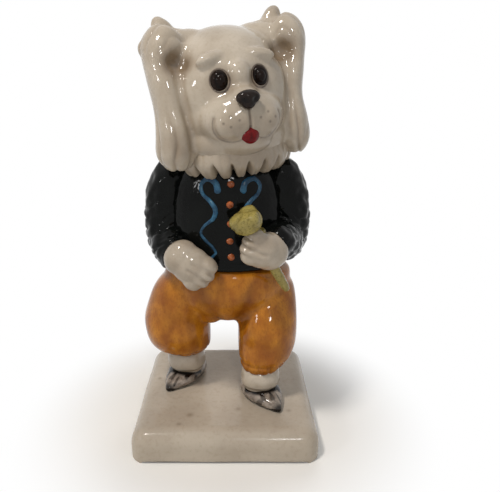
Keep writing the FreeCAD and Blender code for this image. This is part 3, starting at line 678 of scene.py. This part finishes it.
def sleeve_folds(points, way):
    """Crinkles round the lower sleeve that fade out towards the shoulder."""
    lower = 1 - ease(points[:, 2], 60, 68)
    ripple = 1.15 * (points[:, 2] + 0.55 * way * points[:, 0] + 1.6 * grain(points, 4, 31.0))
    depth = 0.5 * lower * ridges(ripple)
    return depth * (0.4 + 0.6 * ease(grain(points, 5.5, 37.0), -0.3, 0.4)) + 0.34 * grain(points, 2.2, 33.0)


for side, way in SIDES.items():
    low, high = corners(f"{side}_sleeve")
    outside = high.x if way > 0 else low.x
    sleeve = bmesh.new()
    stops = [(outside - way * 11.0, TORSO_Y, high.z - 0.4, 3.4, 4.2),
             (outside - way * 8.6, TORSO_Y, 71, 5.2, 6.0),
             (outside - way * 6.8, TORSO_Y, 65.5, 6.2, 6.6),
             (outside - way * 6.3, TORSO_Y - 0.6, 58.5, 6.3, 6.6),
             (outside - way * 6.7, TORSO_Y - 1.6, 53, 5.7, 6.2),
             (outside - way * 8.0, TORSO_Y - 2.2, 48.9, 3.2, 4.2)]
    roll(sleeve, stops, steps=36)
    elbow = Vector((outside - way * 6.6, -2.5, WAIST + 6.6))
    wrist = middle(f"{side}_paw") + Vector((way * 3.6, 3.4, 1.2))
    for share, size in [(0.0, 10.6), (0.35, 10.8), (0.7, 10.0), (1.0, 9.0)]:
        ball(sleeve, elbow.lerp(wrist, share), (size, size, size))
    knead(sleeve, lump=0.36)
    tool(sleeve, lambda p: sleeve_folds(p, way), pooling=0)
    set_out(sleeve, f"{side}_sleeve_shell", jacket_glaze, "jacket_glaze", f"{side}_sleeve")

# %% [markdown]
# ## Paws and flower
# The paws are solid clay. The right one rests on the hip, its fingers pointing down across the breeches,
# and the left one closes round the flower's stalk. Each finger is a small egg of clay, and fine grooves are
# cut between them after kneading.

# %% Right paw
RIGHT_PAW = middle("right_paw")
RIGHT_TILT = (0, 38, 0)


def hand(clay, at, tilt, lumps):
    """Presses lumps (offset, size) into a hand that is tilted by degrees about its middle."""
    turn = Euler([math.radians(a) for a in tilt]).to_matrix()
    for offset, size in lumps:
        ball(clay, at + turn @ Vector(offset), size, tilt)


def finger_grooves(points, at, tilt, grooves):
    """Grooves between fingers, given in the hand's own untilted frame."""
    turn = np.array(Euler([math.radians(a) for a in tilt]).to_matrix())
    local = (points - np.array(at)) @ turn
    return sum(-0.42 * stroke(local, groove, 1.0) for groove in grooves) + 0.06 * grain(points, 3, 41.0)


paw = bmesh.new()
hand(paw, RIGHT_PAW, RIGHT_TILT, [((-2.6, 0.4, 0), (8.4, 7.4, 9.6)), ((0.6, 0.0, 0), (10.6, 7.6, 9.8)),
                                  ((3.7, -0.4, 2.9), (5.8, 5.6, 3.9)), ((4.3, -0.6, 0.7), (6.0, 5.9, 3.9)),
                                  ((4.2, -0.6, -1.5), (5.8, 5.7, 3.8)), ((3.3, -0.4, -3.5), (5.4, 5.2, 3.6))])
knead(paw, lump=0.28, rounds=6)
RIGHT_GROOVES = [[(0.2, -4.0, z * 0.8), (4.0, -3.6, z), (7.4, -1.6, z)] for z in (1.9, -0.6, -2.9)]
tool(paw, lambda p: finger_grooves(p, RIGHT_PAW, RIGHT_TILT, RIGHT_GROOVES), pooling=0.7)
# Painted shade: the whole paw is brushed a little darker, with soft patches.
brush(paw, "pool_and_shade", lambda p: 0.1 + 0.1 * ease(grain(p, 5, 45.0), -0.2, 0.5))
set_out(paw, "right_paw_hand", white_glaze, "white_glaze", "right_paw")

# %% Left paw
LEFT_PAW = middle("left_paw")
LEFT_TILT = (0, 22, 0)
paw = bmesh.new()
hand(paw, LEFT_PAW, LEFT_TILT, [((1.4, 0.6, 0), (9.6, 7.6, 9.6)), ((-0.6, -0.8, 0), (9.6, 7.2, 9.2)),
                                ((-2.9, -1.5, 2.9), (5.6, 5.2, 3.9)), ((-3.3, -1.8, 0.9), (5.6, 5.4, 3.8)),
                                ((-3.2, -1.7, -1.1), (5.4, 5.2, 3.7)), ((-2.5, -1.2, -2.9), (5.0, 4.8, 3.4))])
knead(paw, lump=0.28, rounds=6)
LEFT_GROOVES = [[(-6.2, -2.2, z), (-3.4, -4.4, z), (0.8, -4.6, z * 0.85)] for z in (2.0, -0.2, -2.3)]
tool(paw, lambda p: finger_grooves(p, LEFT_PAW, LEFT_TILT, LEFT_GROOVES), pooling=0.7)
# Painted shade: the whole paw is brushed a little darker, with soft patches.
brush(paw, "pool_and_shade", lambda p: 0.1 + 0.1 * ease(grain(p, 5, 47.0), -0.2, 0.5))
set_out(paw, "left_paw_hand", white_glaze, "white_glaze", "left_paw")

# %% Flower
STALK_LEAN, LEAN_AXIS = math.radians(31), Vector((0.447, -0.894, 0))
FLOWER = Matrix.Translation(LEFT_PAW) @ Matrix.Rotation(STALK_LEAN, 4, LEAN_AXIS)
STALK_RADIUS = 1.4
stalk = bmesh.new()
roll(stalk, [(0, 0, -13.8, 0.4, 0.4), (0, 0, -13.2, 0.9, 0.9), (0, 0, -9, 1.25, 1.25), (0, 0, -5, 1.3, 1.3),
             (0, 0, 0, 1.2, 1.2), (0, 0, 4.6, STALK_RADIUS, STALK_RADIUS)], level=True)
knead(stalk, lump=0.25)
tool(stalk, lambda p: 0.12 * grain(p, 2, 51.0))
bmesh.ops.transform(stalk, matrix=FLOWER, verts=stalk.verts)
set_out(stalk, "flower_stalk_coil", bud_glaze, "bud_glaze", "flower_stalk")

bud = bmesh.new()
ball(bud, (0, 0, 4.7), (5.6, 5.6, 3.2))
ball(bud, (0, 0, 8.0), (6.6, 6.6, 6.0))
for petal in range(3):
    angle = math.radians(120 * petal + 75)
    ball(bud, (1.5 * math.cos(angle), 1.5 * math.sin(angle), 9.4), (5.6, 5.6, 5.8))
ball(bud, (0, 0, 10.6), (6.4, 6.4, 3.6))
knead(bud, lump=0.25, rounds=6)


def petal_folds(points):
    """Petal edges that wrap up and round the bud, and a waist above the calyx."""
    angle = np.arctan2(points[:, 1], points[:, 0])
    wrap = ridges(1.5 * (angle - 0.22 * points[:, 2]) + 0.7)
    return 0.35 * wrap * ease(points[:, 2], 7.0, 9) - 0.45 * np.exp(-((points[:, 2] - 5.9) / 0.6) ** 2)


draw_up(bud, lambda p: -0.7 * np.clip(p[:, 2] - 10.9, 0, 9))
tool(bud, petal_folds, pooling=0.7)
bmesh.ops.transform(bud, matrix=FLOWER, verts=bud.verts)
set_out(bud, "flower_bud_head", bud_glaze, "bud_glaze", "flower_bud")

# %% [markdown]
# ## Buttons and braid
# The buttons are drops of orange-brown enamel. The braid is trailed slip: a thick blue line squeezed from a
# nozzle in an easy wave, broad where it starts and thin where it ends, with a short stroke along the hem.
# Both lie on the jacket, so a ray from the front finds the surface under each drop.

# %% Drops on the jacket


def on_jacket(x, z, sink=0.0):
    """The point of the jacket's front at this x and z, sunk in by so many mm."""
    hit = jacket_skin.ray_cast(Vector((x, -60, z)), Vector((0, 1, 0)))[0]
    return hit + Vector((0, sink, 0))


buttons = bmesh.new()
BUTTON_X = middle("buttons").x
BUTTON_ROWS = [51.4, 55.6, 60.1, 64.8, 69.8]
for count, z in enumerate(BUTTON_ROWS):
    ball(buttons, on_jacket(BUTTON_X + 0.12 * (-1) ** count, z, 0.1), (1.9, 1.5, 1.8))
knead(buttons, lump=0.14, rounds=2)
tool(buttons, lambda p: 0.08 * grain(p, 1.2, 61.0), pooling=0)
set_out(buttons, "jacket_buttons", button_enamel, "button_glaze", "buttons")

# %% Trailed braid
BRAID_OFFSET = 5.2
BRAID_WAVE = [(2.1, 68.2, 1.9), (1.6, 70.0, 1.7), (-0.4, 70.9, 1.5), (-2.0, 69.4, 1.3), (-1.6, 67.3, 1.1),
              (0.2, 65.6, 1.3), (1.5, 63.6, 1.5), (1.0, 61.4, 1.2), (-1.3, 59.4, 0.9), (-2.2, 57.4, 0.85),
              (-1.0, 55.6, 1.0), (0.6, 54.0, 0.9), (1.4, 52.8, 0.8)]
HEM_STROKE = [(1.6, 52.4, 0.7), (0.2, 51.0, 0.9), (-1.6, 50.9, 0.9), (-3.2, 51.6, 0.6)]
for side, way in SIDES.items():
    braid = bmesh.new()
    for across, z, size in [*eased(BRAID_WAVE, 90), *eased(HEM_STROKE, 30)]:
        spot = on_jacket(BUTTON_X + way * (BRAID_OFFSET - across), z, 0.12)
        bmesh.ops.create_icosphere(braid, subdivisions=2, radius=0.5, matrix=Matrix.Translation(spot)
                                   @ Matrix.Diagonal((size, 0.9, size, 1)))
    knead(braid, lump=0.16, rounds=3)
    brush(braid, "pool_and_shade", lambda p: 0.35 * ease(grain(p, 2.5, 65.0), -0.1, 0.5))
    set_out(braid, f"{side}_trailed_braid", braid_slip, "braid_slip", f"{side}_braid")

# %% [markdown]
# ## Head
# The head is one hollow casting: a round skull, a short muzzle with two whisker pads, a chin, cheeks and
# the raised roots of the ears. Its features are plain dog ones. Lines on the face are drawn in the plane
# that the face looks out of, which is simpler than following its curves.

# %% Head and ears as one skin
PAD_X, PAD_Y, PAD_Z = 3.7, -16.2, -6.2
EYE_X, EYE_Z = 4.7, 3.1
EAR_STOPS = [(12.4, -0.4, 13.4, 4.4, 4.6), (14.4, -1.9, 11.4, 5.2, 5.8), (15.0, -3.6, 5.5, 3.9, 5.8),
             (14.6, -4.8, -2.0, 3.5, 5.8), (15.0, -5.6, -8.2, 4.4, 6.3), (15.6, -5.7, -13.0, 4.6, 6.0),
             (15.6, -5.6, -16.2, 2.6, 3.8)]
# How far each ear bulges out halfway down, in mm, and how much it leans out for each mm of height.
EAR_SWAY = {-1: (1.0, 0.0), 1: (0.0, 0.12)}
head = bmesh.new()
ball(head, (0, 0, 0), SKULL)  # skull
ball(head, (0, -2.4, -5), (31, 26, 20))  # cheeks
ball(head, (0, -1.2, -10.5), (29.5, 28.5, 16))  # jowls
ball(head, (0, -9.5, -5.4), (21.5, 19.5, 15.5))  # muzzle
ball(head, (0, -14.8, -0.8), (8.0, 8, 5.6))  # bridge of the nose
ball(head, (0, -13.2, 3.0), (7.0, 6, 9))  # between the eyes
ball(head, (0, -12.4, -10.2), (13.5, 11, 8.5))  # chin
for way in (-1, 1):
    ball(head, (way * PAD_X, PAD_Y, PAD_Z), (8.2, 5.8, 7.6))  # whisker pad
    ball(head, (way * 6.0, -12.1, 8.0), (7.4, 3.0, 3.0), (0, way * 12, 0))  # brow ridge
    ball(head, (way * 12.3, -5.6, -2.5), (7.4, 8.6, 22))  # cheek beside the ear
    ball(head, (way * 9.0, 0.2, 12.2), (12, 9.5, 7.0), (0, way * -22, 0))  # crown beside the ear
    ball(head, (way * 9.6, 2.6, 8.0), (10.5, 11, 9.5))  # back of the root
    bulge, sway = EAR_SWAY[way]
    roll(head, [(way * (x + bulge * math.exp(-(z / 7) ** 2) + sway * z), y, z, wide + 0.4 * bulge, deep)
                for x, y, z, wide, deep in EAR_STOPS], steps=40)
    ball(head, (way * 10.2, -1.0, 9.6), (13, 10.5, 8.6), (0, way * 28, 0))  # root of the ear
    ball(head, (way * 13.8, -0.4, 12.4), (9, 9, 7.6), (0, way * -25, 0))  # top of the fold
    ball(head, (way * 13.2, 0.6, 15.0), (5.2, 4.8, 9.4), (0, way * 26, 0))  # raised tip
    ball(head, (way * (16.6 + 6 * sway), -1.2, 11.8), (8.0, 6.8, 6.0), (0, way * -12, 0))  # outer fold
    ball(head, (way * 7.2, 0.4, 13.2), (10, 8, 5), (0, way * -12, 0))  # slope to the crown
knead(head, lump=0.3, rounds=14)
print("head skin:", len(head.faces), "faces")

# %% Face lines


def front_view(points):
    """The points as seen from in front of the face, flat."""
    return points * (1, 0, 1)


def round_line(x, z, radius, start, end):
    """Stops round part of a circle in the face's plane, by degrees from the dog's left."""
    return [(x + radius * math.cos(math.radians(a)), 0, z + radius * math.sin(math.radians(a)))
            for a in np.linspace(start, end, 9)]


PHILTRUM = [(0, 0, -2.6), (0, 0, -4.4), (0, 0, -6.6)]
PAD_RADIUS = 4.15
PAD_LINES = [round_line(PAD_X + 0.2, PAD_Z - 0.1, PAD_RADIUS, -168, 22),
             round_line(-PAD_X - 0.2, PAD_Z - 0.1, PAD_RADIUS, 158, 348)]
WHISKER_DOTS = [(2.5, -5.6), (4.4, -4.6), (4.6, -6.8), (6.1, -5.9)]


def face_tooling(points):
    """The lip line, the rims of the whisker pads and the eye sockets."""
    flat, front = front_view(points), ease(-points[:, 1], 11.5, 13.5)
    depth = -0.45 * stroke(flat, PHILTRUM, 0.75) * front
    for line in PAD_LINES:
        depth -= 0.32 * stroke(flat, line, 0.7, 24) * front
    for way in (-1, 1):
        depth -= 0.7 * np.exp(-(np.linalg.norm(flat - (way * EYE_X, 0, EYE_Z), axis=1) / 2.6) ** 2) * front
    return depth + 0.14 * grain(points, 6, 71.0)


def cheek_fur(points):
    """Furrows that fan down the cheeks into the ruff."""
    angle = np.arctan2(points[:, 0], -points[:, 1])
    low = ease(-points[:, 2], 6, 12) * ease(np.abs(angle), 0.45, 0.8)
    return 0.25 * low * ridges(7 * angle + 1.2 * grain(points, 6, 73.0))


def face_ink(points):
    """Brown brush lines: the lip, the rims of the whisker pads and the whisker dots."""
    flat = front_view(points)
    lip = 0.62 * stroke(flat, PHILTRUM, 0.5)
    rims = 0.5 * sum(stroke(flat, line, 0.42, 24) for line in PAD_LINES)
    dots = 0.62 * sum(np.exp(-(np.linalg.norm(flat - (way * x, 0, z), axis=1) / 0.38) ** 2)
                      for x, z in WHISKER_DOTS for way in (-1, 1))
    return ease(-points[:, 1], 12.5, 13.5) * (lip + rims + dots)


def eye_ink(points):
    """A thin brown line round each eye."""
    rims = 0
    for way in (-1, 1):
        from_eye = (front_view(points) - (way * EYE_X, 0, EYE_Z)) * (1 / 2.1, 0, 1 / 2.45)
        rims = rims + 0.9 * np.exp(-((np.linalg.norm(from_eye, axis=1) - 1.03) / 0.1) ** 2)
    return ease(-points[:, 1], 9.5, 10.5) * rims


tool(head, face_tooling, pooling=0.8)
# Painted shade under the muzzle and on the lower face, over soft patches of darker glaze.
brush(head, "pool_and_shade", lambda p: 0.13 * ease(-p[:, 2], 3.0, 8.0) * ease(-p[:, 1], 8, 13)
      + 0.1 * ease(grain(p, 7, 77.0), -0.1, 0.6))
tool(head, cheek_fur, pooling=0.4)
brush(head, "ink", face_ink)
brush(head, "ink", eye_ink)

# %% [markdown]
# ## Ears
# Each ear stands up at its root, folds over and hangs down beside the cheek, ending in a heavy rounded lobe
# that is combed with grooves. A shadowed hollow shows under the fold. The ears are combed while they are
# still one skin with the head, and are parted from it afterwards where the potter lutes them on.

# %% Comb the ears
EAR_HOLLOW = (13.4, -8.0, 8.2)


def ear_combing(points):
    """Grooves round the lobes, softer ones over the roots, and the hollow under each fold."""
    depth = np.zeros(len(points))
    for way in (-1, 1):
        outer = ease(way * points[:, 0], 12.0, 13.6)
        around = np.arctan2(points[:, 1] + 5.7, points[:, 0] - way * 15.4)
        lobe = ease(-points[:, 2], -2.0, 8.0) * outer
        depth += 0.5 * lobe * ridges(3.5 * around + 0.9 * grain(points, 7, 81.0))
        root = ease(points[:, 2], 9.5, 13.0) * ease(way * points[:, 0], 7.5, 10)
        slant = points[:, 1] + 0.5 * way * points[:, 0]
        depth += 0.3 * root * ridges(0.85 * slant + 0.8 * grain(points, 5, 83.0))
        away = np.linalg.norm((points - (way * EAR_HOLLOW[0], *EAR_HOLLOW[1:])) / (3.4, 3.4, 2.6), axis=1)
        depth -= 1.7 * np.exp(-away ** 2)
        cheek_line = [(way * 12.8, -9.2, 5.0), (way * 12.6, -10.4, -2.0), (way * 12.2, -10.8, -11.0)]
        depth -= 0.4 * stroke(points, cheek_line, 2.0)
    return depth


tool(head, ear_combing, pooling=0.4)

# %% Part the ears from the head
EAR_SEAM = 12.3
for side, way in SIDES.items():
    ear = head.copy()
    cut_away(ear, (way * EAR_SEAM, 0, 0), (-way, 0, 0))
    bmesh.ops.transform(ear, matrix=HEAD, verts=ear.verts)
    set_out(ear, f"{side}_ear_flap", white_glaze, "white_glaze", f"{side}_ear")
for way in (-1, 1):
    cut_away(head, (way * EAR_SEAM, 0, 0), (way, 0, 0))
bmesh.ops.transform(head, matrix=HEAD, verts=head.verts)
set_out(head, "head_shell", white_glaze, "white_glaze", "head")

# %% [markdown]
# ## Ruff
# A ruff of pointed locks hangs from the cheeks over the jacket's shoulders. It is a bell whose rim is drawn
# up between the locks, and the same wave that draws the rim up cuts the valley above it.

# %% Ruff
LOCKS = 18
RUFF_TURNS = [(-3, 11.6, 11.0), (-6, 12.6, 12.0), (-10, 13.9, 13.2), (-13.5, 14.9, 14.4), (-16.5, 15.0, 14.4),
              (-18.8, 13.8, 13.0), (-19.8, 11.4, 10.8), (-18.2, 7.0, 6.5)]
ruff = bmesh.new()
roll(ruff, [(0, 0, *turn) for turn in RUFF_TURNS], steps=44, level=True, around=72)
knead(ruff, lump=0.32)


def lock_phase(points):
    """Grows by pi from each lock to the next. The sine makes some locks wider than others."""
    around = np.arctan2(points[:, 0], -points[:, 1])
    return 0.5 * LOCKS * around + 0.75 * np.sin(2.3 * around)


def lock_valleys(points):
    """Valleys between the locks, finer ones higher up, and a cast surface's dents."""
    outside = ease(np.hypot(points[:, 0], points[:, 1]), 8, 10)
    valleys = 0.6 * ridges(lock_phase(points)) * ease(-points[:, 2], 14.5, 18.5) * outside
    strands = 0.2 * ridges(2 * lock_phase(points) + grain(points, 4, 93.0)) * ease(-points[:, 2], 9, 14)
    return valleys + strands + 0.15 * grain(points, 3, 91.0)


def rim_lift(points):
    """How far the rim is drawn up between the locks."""
    outside = ease(np.hypot(points[:, 0], points[:, 1]), 8, 11)
    return -2.9 * ridges(lock_phase(points)) * ease(-points[:, 2], 15, 19.2) * outside


tool(ruff, lock_valleys, pooling=0.35)
draw_up(ruff, rim_lift)
bmesh.ops.transform(ruff, matrix=HEAD, verts=ruff.verts)
# Painted shade: the whole ruff is brushed darker, most of all towards its lower rim, with soft patches.
brush(ruff, "pool_and_shade", lambda p: 0.22 + 0.12 * grain(p, 6, 99.0) + 0.08 * ease(-p[:, 2], 13, 18))
set_out(ruff, "ruff_locks", white_glaze, "white_glaze", "ruff")

# %% [markdown]
# ## Eyes, nose and tongue
# Small drops of enamel finish the face: round brown eyes, a dark nose with two nostrils and a red tongue.
# Each eye is two eggs of clay, the ball and the raised iris, with a fine groove between them.

# %% Eyes
IRIS_X = EYE_X - 0.1


def iris_rim(points, way):
    """A fine groove around the iris of one eye."""
    across = (points[:, 0] - way * IRIS_X) / 1.3
    up = (points[:, 2] - EYE_Z) / 1.5
    return -0.11 * np.exp(-((np.hypot(across, up) - 1) / 0.17) ** 2)


for side, way in SIDES.items():
    eye = bmesh.new()
    ball(eye, (way * EYE_X, -13.4, EYE_Z), (4.2, 4.0, 4.9), (0, 0, way * 12))
    ball(eye, (way * IRIS_X, -14.3, EYE_Z), (2.7, 2.5, 3.1), (0, 0, way * 12))
    knead(eye, lump=0.14, rounds=3)
    tool(eye, lambda p: iris_rim(p, way), pooling=4)
    bmesh.ops.transform(eye, matrix=HEAD, verts=eye.verts)
    set_out(eye, f"{side}_eye_drop", eye_enamel, "eye_glaze", f"{side}_eye")

# %% Nose
nose = bmesh.new()
ball(nose, (0, -19.0, -1.0), (5.6, 3.6, 3.4))
ball(nose, (0, -18.9, -2.2), (3.2, 3.0, 2.6))
knead(nose, lump=0.18, rounds=3)
tool(nose, lambda p: sum(-0.55 * np.exp(-(np.linalg.norm(p - (way * 1.35, -20.6, -1.5), axis=1) / 0.75) ** 2)
                         for way in (-1, 1)) + 0.05 * grain(p, 1.5, 95.0))
bmesh.ops.transform(nose, matrix=HEAD, verts=nose.verts)
set_out(nose, "nose_drop", nose_enamel, "nose_glaze", "nose")

# %% Tongue
tongue = bmesh.new()
ball(tongue, (0, -16.8, -9.2), (4.6, 4.6, 4.4), (20, 0, 0))
knead(tongue, lump=0.2, rounds=3)
tool(tongue, lambda p: -0.3 * stroke(p, [(0, -19.4, -8), (0, -19, -10.4)], 0.9))
bmesh.ops.transform(tongue, matrix=HEAD, verts=tongue.verts)
set_out(tongue, "tongue_drop", tongue_enamel, "tongue_glaze", "tongue")

# %% [markdown]
# ## Tail
# A short tail curls up behind the seat of the breeches, combed like the ears.

# %% Tail
TAIL_BLOBS = [(12.5, 39.5, 7.0), (15.2, 41.0, 7.3), (17.4, 43.4, 7.0), (18.7, 46.2, 6.2), (18.9, 48.2, 4.4)]


def tail_combing(points):
    """Grooves along the tail, which start where it leaves the breeches."""
    across = points[:, 0] - TORSO_X
    return 0.4 * ridges(1.5 * across + 0.5 * grain(points, 4, 97.0)) * ease(points[:, 1], 13, 16)


tail = bmesh.new()
for y, z, size in TAIL_BLOBS:
    ball(tail, (TORSO_X, y, z), (size, size, size))
knead(tail, lump=0.3)
tool(tail, tail_combing, pooling=0.5)
set_out(tail, "tail_curl", white_glaze, "white_glaze", "tail")
